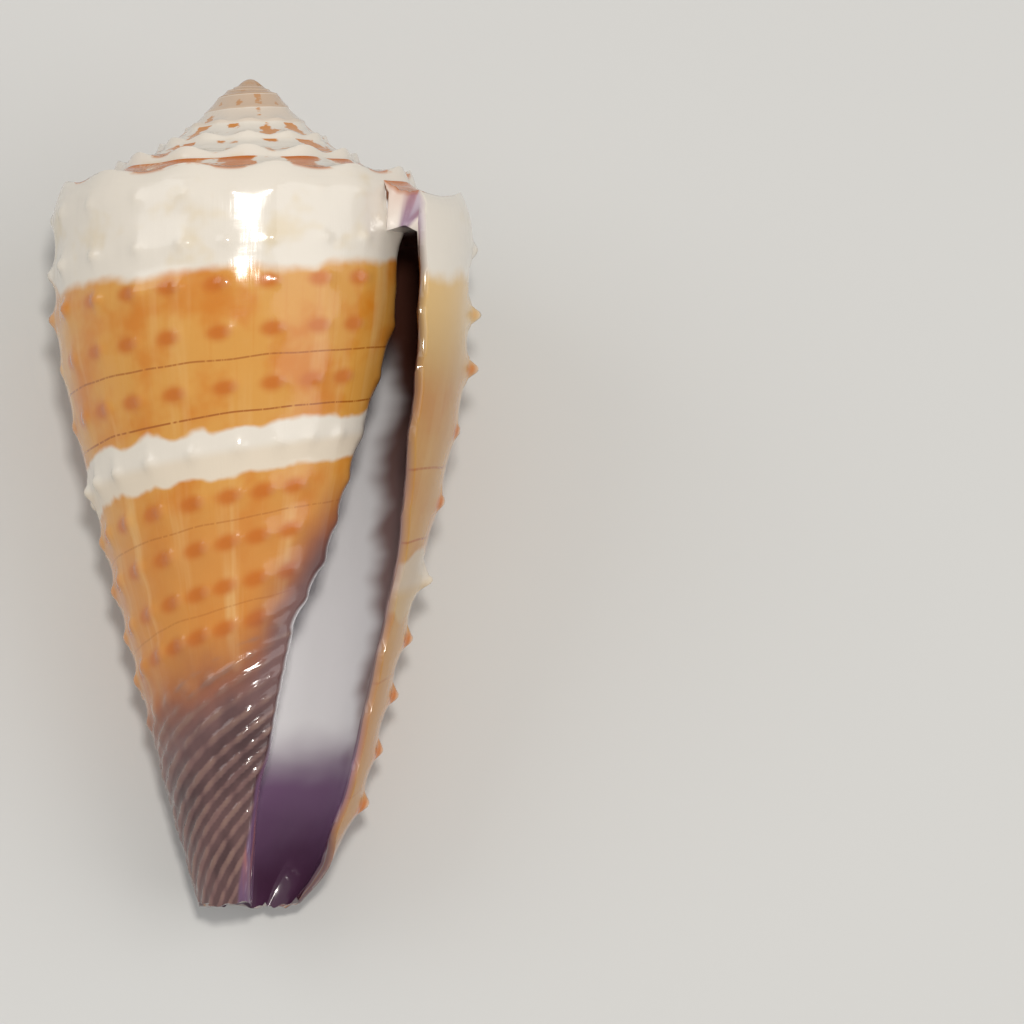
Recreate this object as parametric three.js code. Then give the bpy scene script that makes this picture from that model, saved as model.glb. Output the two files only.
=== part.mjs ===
// A coronated, granulose cone shell, lying on its back with the aperture up.
// The shell is one coiled sheet. It is worked out about its own coiling axis (apex at depth 0, depths
// growing towards the base) and then laid down on three grains of its back.
// A place on the sheet is given by "turns", counted back from the growing lip, and by depth.
import * as THREE from "three";

// Driving dimensions, in millimetres
const LENGTH = 32;
const LIP_RADIUS = 8.65;
const SHOULDER_DROP = 9.28;
const SHOULDER_RISE = 4.35;
const WALL = 1.1;
const LIP_WALL = 0.4;
const ROOF = 0.75;
const KNOB_HEIGHT = 0.6;

// How fast the coil shrinks, per turn back from the lip
const RADIUS_RATE = 0.335;
const LAST_WHORL_SWELL = 0.075;
const DROP_RATE = 0.105;
const BODY_RATE = 0.253;
const ROW_RATE = 0.37;
const GAUGE_TURN = 0.108;

// The side of the last whorl: straight-sided cone below a rounded shoulder
const SIDE_SLOPE = 0.0306;
const SIDE_BEND_DEPTH = 11.76;
const SIDE_BEND_WIDTH = 1.93;

// Where the coil starts and ends
const LIP_ANGLE = THREE.MathUtils.degToRad(-36.5);
const SPIRE_TURNS = 7;
const LUMEN_TURNS = 0.69;

// Mesh steps
const COLUMNS = 64;
const LAST_COLUMN = SPIRE_TURNS * COLUMNS;
const LUMEN_COLUMNS = Math.round(LUMEN_TURNS * COLUMNS);
const CREST = 3;
const SUTURE = 4;
const ROOF_LINE = 5;
const BASE_LINE = 26;

// Rows of grains: their depths at the gauge turn and their heights. Grains crowd together back along a row
const GRAIN_ROWS = [6.6, 9.1, 11.2, 13.6, 16.3, 19.3, 21.6, 23.8, 25.9, 27.9, 29.9];
const GRAIN_HEIGHTS = [0.2, 0.38, 0.38, 0.16, 0.2, 0.4, 0.28, 0.3, 0.26, 0.3, 0.2];
const FIRST_GRAINS_PER_TURN = 11;
const GRAIN_CROWDING = 7;
const FIRST_GRAIN_TURN = 0.101;
const KNOBS_PER_SPIRE_TURN = 12;

// Lying position: how far the apex end is raised, and the roll about the coiling axis
const APEX_RAISED = THREE.MathUtils.degToRad(11.1);
const ROLL = THREE.MathUtils.degToRad(-2.9);

function smooth(low, high, value) {
  return THREE.MathUtils.smoothstep(value, low, high);
}

// ---- the coil ----

function shoulderRadius(turn) {
  const swell = turn < 2 ? LAST_WHORL_SWELL * Math.sin((Math.PI * turn) / 2) : 0;
  return LIP_RADIUS * Math.exp(-RADIUS_RATE * turn + swell);
}

function shoulderDepth(turn) {
  const open = SHOULDER_DROP * Math.exp(-DROP_RATE * turn) - SHOULDER_RISE;
  return THREE.MathUtils.lerp(open, 0.53 * shoulderRadius(turn), smooth(5, 7, turn));
}

function sutureDepth(turn) {
  return shoulderDepth(turn) + 0.05 * shoulderRadius(turn);
}

function roofDepth(turn) {
  return sutureDepth(turn) + ROOF * (shoulderRadius(turn) / LIP_RADIUS);
}

// Radius of the whorl's side as a share of its shoulder radius
function sideShare(depth) {
  const past = depth - SIDE_BEND_DEPTH;
  return 1 - (SIDE_SLOPE * (Math.hypot(past, SIDE_BEND_WIDTH) + past)) / 2;
}

// The lip leaves a plane through the axis: it swings back a little halfway down and rounds off at the base
function lipTurn(depth) {
  const middle = 9.5 * smooth(13, 20, depth);
  const corner = 80 * smooth(28.9, 32.8, depth);
  return (middle + corner) / 360;
}

// Where the side of the previous whorl dives inward and becomes the inner wall of the aperture
function edgeTurn(depth) {
  return 1.03 - 0.19 * smooth(9.6, 29.3, depth) ** 1.3 + 0.05 * (1 - smooth(6.4, 7.3, depth));
}

function innerShare(turn, depth) {
  const past = turn - edgeTurn(depth);
  return past > 0 ? 1 - 0.42 * smooth(0, 0.11, past) - 0.2 * smooth(0.1, 0.6, past) : 1;
}

function sideRadius(turn, depth) {
  const held = Math.min(turn, 1);
  const share = sideShare(depth * Math.exp(BODY_RATE * (held - GAUGE_TURN)));
  const crown = 1 - 0.05 * Math.exp(-(depth - shoulderDepth(held)) / 0.45);
  const taper = 1 - 0.2 * smooth(27, 32, depth) * (1 - smooth(0.3, 0.7, held));
  return shoulderRadius(held) * share * crown * taper * innerShare(turn, depth);
}

// ---- knobs on the shoulder and grains on the side ----

function knobCount(turn) {
  const held = Math.min(turn, 1);
  const atLip = 0.22 * (1 - smooth(0.1, 0.25, turn));
  const beyond = KNOBS_PER_SPIRE_TURN * (turn - held) + 0.24 * smooth(1, 1.18, turn);
  return 6.753 * held + 3.24 * held * held - 0.469 - atLip + beyond;
}

function knobSwell(turn) {
  const wave = 0.5 + 0.5 * Math.cos(2 * Math.PI * knobCount(turn));
  const fade = 1 - smooth(3, 5.5, turn);
  return KNOB_HEIGHT * wave * fade * (shoulderRadius(turn) / LIP_RADIUS) ** 1.3;
}

// Grains stand highest along the lip and wear down towards the aperture's other side
function grainHeight(row, turn) {
  const atLip = 0.5 * (1 - smooth(0.12, 0.22, turn));
  return GRAIN_HEIGHTS[row] * (1 + atLip - 0.7 * smooth(0.5, 0.9, turn));
}

function grainCount(turn) {
  return FIRST_GRAINS_PER_TURN * turn + GRAIN_CROWDING * turn * turn;
}

// The turn at which a row has counted that many grains, by undoing grainCount
function grainTurn(count) {
  const square = FIRST_GRAINS_PER_TURN ** 2 + 4 * GRAIN_CROWDING * count;
  return (Math.sqrt(square) - FIRST_GRAINS_PER_TURN) / (2 * GRAIN_CROWDING);
}

function grainsOfRow(row) {
  const grains = [];
  for (let count = grainCount(FIRST_GRAIN_TURN); count < grainCount(1); count += 1) {
    const turn = grainTurn(count + 0.12 * Math.sin(0.9 * row + 1.1 * count));
    const depth = GRAIN_ROWS[row] * Math.exp(-ROW_RATE * (turn - GAUGE_TURN));
    grains.push({ turn, depth, height: grainHeight(row, turn) });
  }
  return grains;
}

// ---- points ----

function place(turn, radius, depth) {
  const angle = LIP_ANGLE + 2 * Math.PI * turn;
  return new THREE.Vector3(radius * Math.cos(angle), radius * Math.sin(angle), -depth);
}

// Columns near the lip are pulled back so that the first one follows the lip's own curve
function columnTurn(column, depth) {
  const turn = column / COLUMNS;
  return turn + lipTurn(depth) * Math.max(0, 1 - turn / 0.3);
}

function lineDepth(turn, line) {
  const roof = roofDepth(turn);
  return roof + ((line - ROOF_LINE) / (BASE_LINE - ROOF_LINE)) * (LENGTH - roof);
}

// Ramp between the suture and the shoulder crest, slightly hollow
function rampPoint(turn, line) {
  const along = line / CREST;
  const inner = shoulderRadius(turn + 1);
  const outer = 0.955 * shoulderRadius(turn);
  const sag = 0.018 * outer * Math.sin(Math.PI * along);
  const knob = knobSwell(turn);
  const rise = knob * along ** 3;
  const radius = THREE.MathUtils.lerp(inner, outer + 0.25 * knob, along);
  const depth = THREE.MathUtils.lerp(sutureDepth(turn + 1), shoulderDepth(turn), along);
  return place(turn, radius, depth + sag - rise);
}

function sheetPoint(column, line) {
  const turn = column / COLUMNS;
  if (line <= CREST) {
    return rampPoint(turn, line);
  }
  if (line === SUTURE) {
    const radius = 0.985 * shoulderRadius(turn) + 0.4 * knobSwell(turn);
    return place(turn, radius, sutureDepth(turn));
  }
  const depth = lineDepth(turn, line);
  const held = columnTurn(column, depth);
  return place(held, sideRadius(held, depth), depth);
}

function grainPoint(grain) {
  return place(grain.turn, sideRadius(grain.turn, grain.depth) + grain.height, grain.depth);
}

// Inner face of the outer wall, one wall's thickness inside the sheet
function wallPoint(column, line) {
  const depth = lineDepth(column / COLUMNS, line);
  const turn = columnTurn(column, depth);
  const outer = sideRadius(turn, depth);
  const thick = THREE.MathUtils.lerp(LIP_WALL, WALL, smooth(0, 0.25, column / COLUMNS));
  return place(turn, outer - Math.min(thick, 0.4 * outer), depth);
}

// ---- closed mesh ----

class Skin {
  constructor() {
    this.points = [];
    this.index = [];
    this.names = new Map();
  }

  vertex(name, make) {
    if (!this.names.has(name)) {
      this.names.set(name, this.points.length);
      this.points.push(make());
    }
    return this.names.get(name);
  }

  triangle(a, b, c) {
    if (a !== b && b !== c && c !== a) {
      this.index.push(a, b, c);
    }
  }

  // Joins two polylines that may have different numbers of points
  zip(first, second) {
    let i = 0;
    let j = 0;
    while (i < first.length - 1 || j < second.length - 1) {
      const nextFirst = (i + 1) / (first.length - 1);
      const nextSecond = (j + 1) / (second.length - 1);
      if (nextFirst <= nextSecond) {
        this.triangle(first[i], first[i + 1], second[j]);
        i += 1;
      } else {
        this.triangle(first[i], second[j + 1], second[j]);
        j += 1;
      }
    }
  }

  fan(centre, loop) {
    const hub = this.points.push(centre) - 1;
    loop.forEach((start, i) => this.triangle(hub, start, loop[(i + 1) % loop.length]));
  }

  geometry() {
    const geometry = new THREE.BufferGeometry();
    const flat = this.points.flatMap((point) => point.toArray());
    geometry.setAttribute("position", new THREE.Float32BufferAttribute(flat, 3));
    geometry.setIndex(this.index);
    geometry.computeVertexNormals();
    return geometry;
  }
}

// A whorl's suture is a line on the whorl before it, so both share its vertices
function sheetVertex(skin, column, line) {
  if (line === 0 && column + COLUMNS <= LAST_COLUMN) {
    return sheetVertex(skin, column + COLUMNS, SUTURE);
  }
  return skin.vertex(`sheet ${column} ${line}`, () => sheetPoint(column, line));
}

function wallVertex(skin, column, line) {
  if (line === ROOF_LINE) {
    return sheetVertex(skin, column + COLUMNS, ROOF_LINE);
  }
  return skin.vertex(`wall ${column} ${line}`, () => wallPoint(column, line));
}

// The roof of the lumen leaves the whorl before it and runs out under the ramp to the shoulder
function roofVertex(skin, column, share) {
  const turn = column / COLUMNS;
  return skin.vertex(`roof ${column} ${share}`, () => {
    const inner = sideRadius(turn + 1, roofDepth(turn + 1));
    const outer = 0.96 * sideRadius(turn, roofDepth(turn)) - WALL * smooth(-0.3, 0.2, turn);
    const depth = THREE.MathUtils.lerp(roofDepth(turn + 1), roofDepth(turn), share);
    return place(turn, THREE.MathUtils.lerp(inner, outer, share), depth);
  });
}

function range(first, last, step = 1) {
  const count = Math.floor((last - first) / step);
  const values = Array.from({ length: count + 1 }, (_, i) => first + i * step);
  return values.at(-1) === last ? values : [...values, last];
}

function sheetColumn(skin, column, lines) {
  return lines.map((line) => sheetVertex(skin, column, line));
}

function wallColumn(skin, column) {
  const start = wallVertex(skin, column, ROOF_LINE);
  const roof = [0.5, 0.9].map((share) => roofVertex(skin, column, share));
  const side = range(ROOF_LINE + 1, BASE_LINE, 2).map((line) => wallVertex(skin, column, line));
  return [start, ...roof, ...side];
}

function addBody(skin) {
  const lines = range(0, BASE_LINE);
  for (let column = 0; column < COLUMNS; column += 1) {
    skin.zip(sheetColumn(skin, column, lines), sheetColumn(skin, column + 1, lines));
  }
}

function addSpire(skin) {
  const lines = [0, 2, CREST, SUTURE];
  const whole = range(0, SUTURE);
  for (let column = COLUMNS; column < LAST_COLUMN; column += 1) {
    const near = column === COLUMNS ? whole : lines;
    skin.zip(sheetColumn(skin, column, near), sheetColumn(skin, column + 1, lines));
  }
}

function addInnerWall(skin) {
  const whole = range(ROOF_LINE, BASE_LINE);
  const lines = range(ROOF_LINE, BASE_LINE, 2);
  for (let column = COLUMNS; column < COLUMNS + LUMEN_COLUMNS; column += 1) {
    const near = column === COLUMNS ? whole : lines;
    skin.zip(sheetColumn(skin, column, near), sheetColumn(skin, column + 1, lines));
  }
}

function addOuterWallInside(skin) {
  for (let column = 0; column < LUMEN_COLUMNS; column += 1) {
    skin.zip(wallColumn(skin, column + 1), wallColumn(skin, column));
  }
}

function addLipEdge(skin) {
  skin.zip(wallColumn(skin, 0), sheetColumn(skin, 0, range(0, BASE_LINE)));
}

function addLumenEnd(skin) {
  const lines = range(ROOF_LINE, BASE_LINE, 2);
  skin.zip(sheetColumn(skin, COLUMNS + LUMEN_COLUMNS, lines), wallColumn(skin, LUMEN_COLUMNS));
}

// The cut end of the base: the rim of the outer wall, then the solid end of the columella
function addBaseEnd(skin) {
  const rimColumns = range(0, LUMEN_COLUMNS);
  const inside = rimColumns.map((column) => wallVertex(skin, column, BASE_LINE));
  const outside = rimColumns.map((column) => sheetVertex(skin, column, BASE_LINE));
  skin.zip(inside, outside);
  const core = range(LUMEN_COLUMNS, LUMEN_COLUMNS + COLUMNS).reverse();
  const loop = core.map((column) => sheetVertex(skin, column, BASE_LINE));
  loop.push(inside.at(-1));
  skin.fan(place(LUMEN_TURNS + 0.25, 0.25, LENGTH - 0.3), loop);
}

function addApex(skin) {
  const ring = range(LAST_COLUMN - COLUMNS, LAST_COLUMN).map((column) => sheetVertex(skin, column, 0));
  const step = [2, CREST].map((line) => sheetVertex(skin, LAST_COLUMN, line));
  skin.fan(new THREE.Vector3(0, 0, 0), [...ring, ...step]);
}

// Each grain lifts the nearest vertex of the last whorl's side, moved to the grain's own centre
function raiseGrains(skin) {
  for (const row of GRAIN_ROWS.keys()) {
    for (const grain of grainsOfRow(row)) {
      const column = Math.round(grain.turn * COLUMNS);
      const roof = roofDepth(grain.turn);
      const share = (grain.depth - roof) / (LENGTH - roof);
      const line = Math.round(ROOF_LINE + share * (BASE_LINE - ROOF_LINE));
      const free = grain.turn - lipTurn(grain.depth) > 0.03 && grain.turn < edgeTurn(grain.depth) - 0.03;
      if (free && column < COLUMNS && line > ROOF_LINE && line < BASE_LINE) {
        skin.points[sheetVertex(skin, column, line)].copy(grainPoint(grain));
      }
    }
  }
}

function makeShell() {
  const skin = new Skin();
  addBody(skin);
  addSpire(skin);
  addInnerWall(skin);
  addOuterWallInside(skin);
  addLipEdge(skin);
  addLumenEnd(skin);
  addBaseEnd(skin);
  addApex(skin);
  raiseGrains(skin);
  const aragonite = new THREE.MeshStandardMaterial({ color: 0xdf9c4c, roughness: 0.3, metalness: 0 });
  const shell = new THREE.Mesh(skin.geometry(), aragonite);
  shell.name = "shell";
  return shell;
}

// Lays the shell on its back: lowest point at height 0, centred over the origin
function layDown(shell) {
  shell.rotation.set(APEX_RAISED - Math.PI / 2, 0, ROLL);
  shell.updateMatrixWorld(true);
  const box = new THREE.Box3().setFromObject(shell, true);
  const centre = box.getCenter(new THREE.Vector3());
  shell.position.set(-centre.x, -centre.y, -box.min.z);
}

const shell = makeShell();
layDown(shell);
const group = new THREE.Group();
group.add(shell);

export default group;
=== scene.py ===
"""A coronated, granulose cone shell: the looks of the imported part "shell".

The shell is one coiled sheet. A place on it is given by "turns", counted back from the growing lip,
and by depth below the apex along the coiling axis. Rows of grains, colour bands and cords keep their
"gauge", which is the depth that they have at GAUGE_TURN. The shell's own measures are in millimetres.
"""

import bpy
import numpy as np
from mathutils import Matrix, Vector


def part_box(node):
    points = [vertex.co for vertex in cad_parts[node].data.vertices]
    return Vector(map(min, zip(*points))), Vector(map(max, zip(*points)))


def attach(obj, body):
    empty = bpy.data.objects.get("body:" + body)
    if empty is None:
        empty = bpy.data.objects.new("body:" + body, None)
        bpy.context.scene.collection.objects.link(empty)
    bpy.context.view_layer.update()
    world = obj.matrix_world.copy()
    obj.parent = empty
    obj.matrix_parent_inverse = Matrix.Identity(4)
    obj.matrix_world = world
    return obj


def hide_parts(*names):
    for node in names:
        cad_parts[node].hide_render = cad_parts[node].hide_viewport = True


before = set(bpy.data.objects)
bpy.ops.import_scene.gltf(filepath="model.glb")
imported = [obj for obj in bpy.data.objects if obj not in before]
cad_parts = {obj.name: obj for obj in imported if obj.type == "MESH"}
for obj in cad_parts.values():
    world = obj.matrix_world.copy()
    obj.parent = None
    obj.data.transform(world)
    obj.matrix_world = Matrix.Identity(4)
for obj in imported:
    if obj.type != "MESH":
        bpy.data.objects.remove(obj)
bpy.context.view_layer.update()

MM = 0.001

# The coil, the same as the CAD's
LENGTH = 32.0
LIP_RADIUS = 8.65
SHOULDER_DROP = 9.28
SHOULDER_RISE = 4.35
WALL = 1.1
LIP_WALL = 0.4
ROOF = 0.75
KNOB_HEIGHT = 0.6
RADIUS_RATE = 0.335
LAST_WHORL_SWELL = 0.075
DROP_RATE = 0.105
BODY_RATE = 0.253
ROW_RATE = 0.37
GAUGE_TURN = 0.108
SIDE_SLOPE = 0.0306
SIDE_BEND_DEPTH = 11.76
SIDE_BEND_WIDTH = 1.93
LIP_ANGLE = np.radians(-36.5)
LUMEN_TURNS = 0.69

# How the side turns into the aperture's inner wall: turns at the edge, and shares of the radius lost past it
EDGE_TURN = 1.013
CALLUS_TURNS = 0.033
EDGE_SLANT = 0.0055
EDGE_SCALLOP = 0.007
UPPER_DIVE = 0.44
EXTRA_DIVE_BELOW = 0.36
SLOW_DIVE = 0.1

# The lip's outline, in degrees round the axis
LIP_MIDDLE = 9.5
LIP_CORNER = 80.0
LIP_SCALLOP = 0.9

# Rows of grains, and how the grains crowd together back along a row
GRAIN_ROWS = (6.6, 9.1, 11.2, 13.6, 16.3, 19.3, 21.6, 23.8, 25.9, 27.9, 29.9)
GRAIN_HEIGHTS = (0.2, 0.38, 0.38, 0.16, 0.2, 0.4, 0.28, 0.3, 0.26, 0.3, 0.2)
GRAIN_RADIUS = 0.28
FIRST_GRAINS_PER_TURN = 11.0
GRAIN_CROWDING = 7.0
FIRST_GRAIN_TURN = 0.101
KNOBS_PER_SPIRE_TURN = 12.0

# Spiral cords round the base
FIRST_CORD = 31.4
CORD_STEP = 0.86
CORD_HEIGHT = 0.11
CORD_CLIMB_PER_TURN = 7.0

# Mesh steps. Lines run along the coil: ramp, crest, suture, rows of grains, base
SPIRE_TURNS = 8
COLUMNS = 300
LAST_COLUMN = SPIRE_TURNS * COLUMNS
LUMEN_COLUMNS = round(LUMEN_TURNS * COLUMNS)
CREST = 10
SUTURE = 15
FIRST_ROW_LINE = 20
ROW_OFFSETS = (-0.36, -0.24, -0.12, 0.0, 0.12, 0.24, 0.36)
ROOF_LINE = FIRST_ROW_LINE + 10
LINES_BETWEEN_ROWS = 3
BASE_LINES = 74
INNER_DENSE_COLUMNS = 36
ROOF_SHARES = (0.0, 0.2, 0.4, 0.6, 0.78, 0.9, 0.97)
WALL_SHARES = np.linspace(0.012, 1.0, 34)
LIP_ROUND = 0.12
ROOT_LINES = 3

# Lying position, as in the CAD
APEX_RAISED = np.radians(11.1)
ROLL = np.radians(-2.9)


def smooth(low, high, value):
    share = np.clip((value - low) / (high - low), 0.0, 1.0)
    return share * share * (3.0 - 2.0 * share)


def mix(first, second, share):
    return first + (second - first) * share


# ---- the coil ----


def shoulder_radius(turn):
    swell = np.where(turn < 2.0, LAST_WHORL_SWELL * np.sin(np.pi * turn / 2.0), 0.0)
    return LIP_RADIUS * np.exp(-RADIUS_RATE * turn + swell)


def shoulder_depth(turn):
    open_coil = SHOULDER_DROP * np.exp(-DROP_RATE * turn) - SHOULDER_RISE
    return mix(open_coil, 0.53 * shoulder_radius(turn), smooth(5.0, 7.0, turn))


def suture_depth(turn):
    return shoulder_depth(turn) + 0.05 * shoulder_radius(turn)


def roof_depth(turn):
    return suture_depth(turn) + ROOF * shoulder_radius(turn) / LIP_RADIUS


def side_share(depth):
    past = depth - SIDE_BEND_DEPTH
    return 1.0 - SIDE_SLOPE * (np.hypot(past, SIDE_BEND_WIDTH) + past) / 2.0


def lip_turn(depth):
    """The lip's own curve, in turns: set back down its middle, rounded off at the base, scalloped by rows."""
    middle = LIP_MIDDLE * smooth(13.0, 20.0, depth)
    corner = LIP_CORNER * smooth(28.9, 32.8, depth)
    return (middle + corner - LIP_SCALLOP * row_scallop(depth, 0.0)) / 360.0


def row_scallop(depth, turn):
    """1 where a row of grains meets the lip or the aperture's inner edge, 0 between rows."""
    count = np.interp(gauge_of(turn, depth), GRAIN_ROWS, np.arange(len(GRAIN_ROWS)))
    return (0.5 + 0.5 * np.cos(2.0 * np.pi * count)) ** 2


def edge_turn(depth):
    """Where the side dives inward and becomes the inner wall of the aperture."""
    callus = CALLUS_TURNS * (1.0 - smooth(4.9, 7.3, depth))
    slant = EDGE_SLANT * np.clip(depth - 9.6, 0.0, None)
    bends = 0.036 * smooth(18.0, 22.0, depth) + 0.022 * smooth(25.8, 27.5, depth)
    scallop = EDGE_SCALLOP * row_scallop(depth, 0.97) * smooth(8.0, 9.0, depth)
    return EDGE_TURN + callus - slant - bends + scallop


def inner_share(turn, depth):
    """The share of the side's radius that is left past the edge: a steep dive, then a slow one."""
    past = turn - edge_turn(depth)
    dive = UPPER_DIVE + EXTRA_DIVE_BELOW * smooth(18.0, 25.0, depth)
    inward = dive * smooth(0.0, 0.085, past) + SLOW_DIVE * smooth(0.08, 0.6, past)
    return 1.0 - np.where(past > 0.0, inward, 0.0)


def crown(turn, below):
    """Rounds the shoulder off over the first half millimetre below its crest."""
    width = 0.45 * np.minimum(1.0, shoulder_radius(turn) / shoulder_radius(1.0))
    return 1.0 - 0.05 * np.exp(-below / width)


def side_radius(turn, depth):
    held = np.minimum(turn, 1.0)
    share = side_share(depth * np.exp(BODY_RATE * (held - GAUGE_TURN)))
    taper = 1.0 - 0.2 * smooth(27.0, 32.0, depth) * (1.0 - smooth(0.3, 0.7, held))
    rounded = crown(held, depth - shoulder_depth(held))
    return shoulder_radius(held) * share * rounded * taper * inner_share(turn, depth)


def gauge_of(turn, depth):
    return depth * np.exp(ROW_RATE * (turn - GAUGE_TURN))


def depth_of(turn, gauge):
    return gauge * np.exp(-ROW_RATE * (turn - GAUGE_TURN))


# ---- knobs, grains and cords ----


def knob_wave(turn):
    held = np.minimum(turn, 1.0)
    at_lip = 0.22 * (1.0 - smooth(0.1, 0.25, turn))
    beyond = KNOBS_PER_SPIRE_TURN * (turn - held) + 0.24 * smooth(1.0, 1.18, turn)
    count = 6.753 * held + 3.24 * held * held - 0.469 - at_lip + beyond
    return 0.5 + 0.5 * np.cos(2.0 * np.pi * count)


def knob_swell(turn):
    fade = 1.0 - smooth(3.0, 5.5, turn)
    worn_front = 0.5 * smooth(0.5, 0.62, turn) * (1.0 - smooth(0.97, 1.1, turn))
    worn_lip = 0.45 * smooth(0.16, 0.05, turn)
    height = KNOB_HEIGHT * (1.0 - worn_front - worn_lip) * fade
    return height * knob_wave(turn) * (shoulder_radius(turn) / LIP_RADIUS) ** 1.3


def grain_height(row, turn):
    at_lip = 0.5 * (1.0 - smooth(0.12, 0.22, turn))
    return GRAIN_HEIGHTS[row] * (1.0 + at_lip - 0.7 * smooth(0.5, 0.9, turn))


def grain_count(turn):
    return FIRST_GRAINS_PER_TURN * turn + GRAIN_CROWDING * turn * turn


def grain_turn(count):
    square = FIRST_GRAINS_PER_TURN**2 + 4.0 * GRAIN_CROWDING * count
    return (np.sqrt(square) - FIRST_GRAINS_PER_TURN) / (2.0 * GRAIN_CROWDING)


def grains():
    """Yields the turn, depth and height of each grain on the last whorl."""
    for row, gauge in enumerate(GRAIN_ROWS):
        for count in np.arange(grain_count(FIRST_GRAIN_TURN), grain_count(1.0)):
            turn = grain_turn(count + 0.12 * np.sin(0.9 * row + 1.1 * count))
            depth = depth_of(turn, gauge)
            if lip_turn(depth) + 0.03 < turn < edge_turn(depth) - 0.03:
                yield turn, depth, grain_height(row, turn)


def grain_fields(turn, depth):
    """How far grains lift the surface at each place, and how much of a pearly tip and rust halo is there."""
    lift = np.zeros_like(turn)
    tip = np.zeros_like(turn)
    halo = np.zeros_like(turn)
    round_shell = 2.0 * np.pi * side_radius(turn, depth)
    for grain, level, height in grains():
        near = (np.abs(turn - grain) < 0.12) & (np.abs(depth - level) < 2.0)
        across = (turn[near] - grain) * round_shell[near]
        down = depth[near] - level + ROW_RATE * level * (turn[near] - grain)
        pearl = np.exp(-((np.hypot(across, down) / GRAIN_RADIUS) ** 2.4))
        swell = np.exp(-((across / 1.0) ** 2) - (down / 0.55) ** 2)
        cloud = np.exp(-(((across + 0.38) / 0.62) ** 2) - (down / 0.4) ** 2)
        lift[near] = np.maximum(lift[near], height * (0.62 * pearl + 0.38 * swell))
        tip[near] = np.maximum(tip[near], pearl)
        halo[near] = np.maximum(halo[near], cloud)
    return lift, tip, halo


def cord_fields(turn, depth):
    """How high the base's cords stand, from 0 to about 1, and how much of the base is corded there."""
    wander = 0.12 * np.sin(2.0 * np.pi * (3.1 * turn + 0.2 * depth))
    gauge = gauge_of(turn, depth) + CORD_CLIMB_PER_TURN * (turn - 0.5) + wander
    count = (gauge - FIRST_CORD) / CORD_STEP
    wave = np.clip(np.cos(2.0 * np.pi * count), -0.5, 1.0)
    row = np.round(count)
    short_beads = 0.2 * np.sin(2.0 * np.pi * (29.0 * turn + 0.37 * row))
    long_beads = 0.25 * np.sin(2.0 * np.pi * (8.3 * turn + 0.61 * row))
    beads = 0.8 + short_beads + long_beads
    share = smooth(FIRST_CORD - 1.6, FIRST_CORD + 1.2, gauge)
    free = 1.0 - smooth(-0.02, 0.06, turn - edge_turn(depth))
    return ((wave + 0.5) / 1.5) ** 1.4 * beads, share * free


# ---- places on the sheet ----


def row_gauges():
    """Gauges of the side's lines from just above the first row to just below the last, close at the rows."""
    gauges = []
    for row, gauge in enumerate(GRAIN_ROWS):
        if row > 0:
            start = gauges[-1]
            between = np.linspace(start, gauge + ROW_OFFSETS[0], LINES_BETWEEN_ROWS + 2)
            gauges.extend(between[1:-1])
        gauges.extend(gauge + offset for offset in ROW_OFFSETS)
    return np.array(gauges)


ROW_GAUGES = row_gauges()
LAST_ROW_LINE = FIRST_ROW_LINE + len(ROW_GAUGES) - 1
BASE_LINE = LAST_ROW_LINE + BASE_LINES


def base_depth(turn):
    """The cut end of the base is worn into shallow waves."""
    waves = np.sin(2.0 * np.pi * 5.0 * turn + 0.6) + 0.6 * np.sin(2.0 * np.pi * 13.0 * turn + 2.0)
    return LENGTH - 0.2 - 0.07 * waves


def body_depth(turn, line):
    """Depth of a line of the last whorl, from the shoulder's crest down."""
    crest = shoulder_depth(turn)
    suture = suture_depth(turn)
    first = depth_of(turn, ROW_GAUGES[0])
    last = depth_of(turn, ROW_GAUGES[-1])
    row = np.interp(line, np.arange(FIRST_ROW_LINE, LAST_ROW_LINE + 1), ROW_GAUGES)
    at_crest = mix(crest, suture, (line - CREST) / (SUTURE - CREST))
    at_shoulder = mix(suture, first, (line - SUTURE) / (FIRST_ROW_LINE - SUTURE))
    at_base = mix(last, base_depth(turn), (line - LAST_ROW_LINE) / BASE_LINES)
    parts = [line <= SUTURE, line <= FIRST_ROW_LINE, line <= LAST_ROW_LINE]
    return np.select(parts, [at_crest, at_shoulder, depth_of(turn, row)], at_base)


def line_depth(turn, line):
    """Behind the aperture, lines keep the shares that they have where the last whorl began."""
    held = body_depth(1.0 + 0.0 * turn, line)
    share = (held - roof_depth(1.0)) / (base_depth(turn) - roof_depth(1.0))
    behind = mix(roof_depth(turn), base_depth(turn), share)
    past_body = (turn > 1.0) & (line > SUTURE)
    return np.where(past_body, behind, body_depth(turn, line))


def place(turn, radius, depth):
    angle = LIP_ANGLE + 2.0 * np.pi * turn
    return np.stack([radius * np.cos(angle), radius * np.sin(angle), -depth], axis=-1)


def pulled_turn(turn, depth):
    """Columns near the lip are pulled back so that the first one follows the lip's own curve."""
    return turn + lip_turn(depth) * np.clip(1.0 - turn / 0.3, 0.0, 1.0)


def crest_profile(turn, below):
    """Radius and lift of the rounded shoulder, with its knobs, at a depth below the crest."""
    size = shoulder_radius(turn) / LIP_RADIUS
    knob = knob_swell(turn)
    share = smooth(0.0, 0.43 * size, below)
    radius = 0.9957 * shoulder_radius(turn) * crown(turn, below) + mix(0.25, 0.45, share) * knob
    return radius, knob * np.exp(-((below / (0.3 * size)) ** 2))


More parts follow.
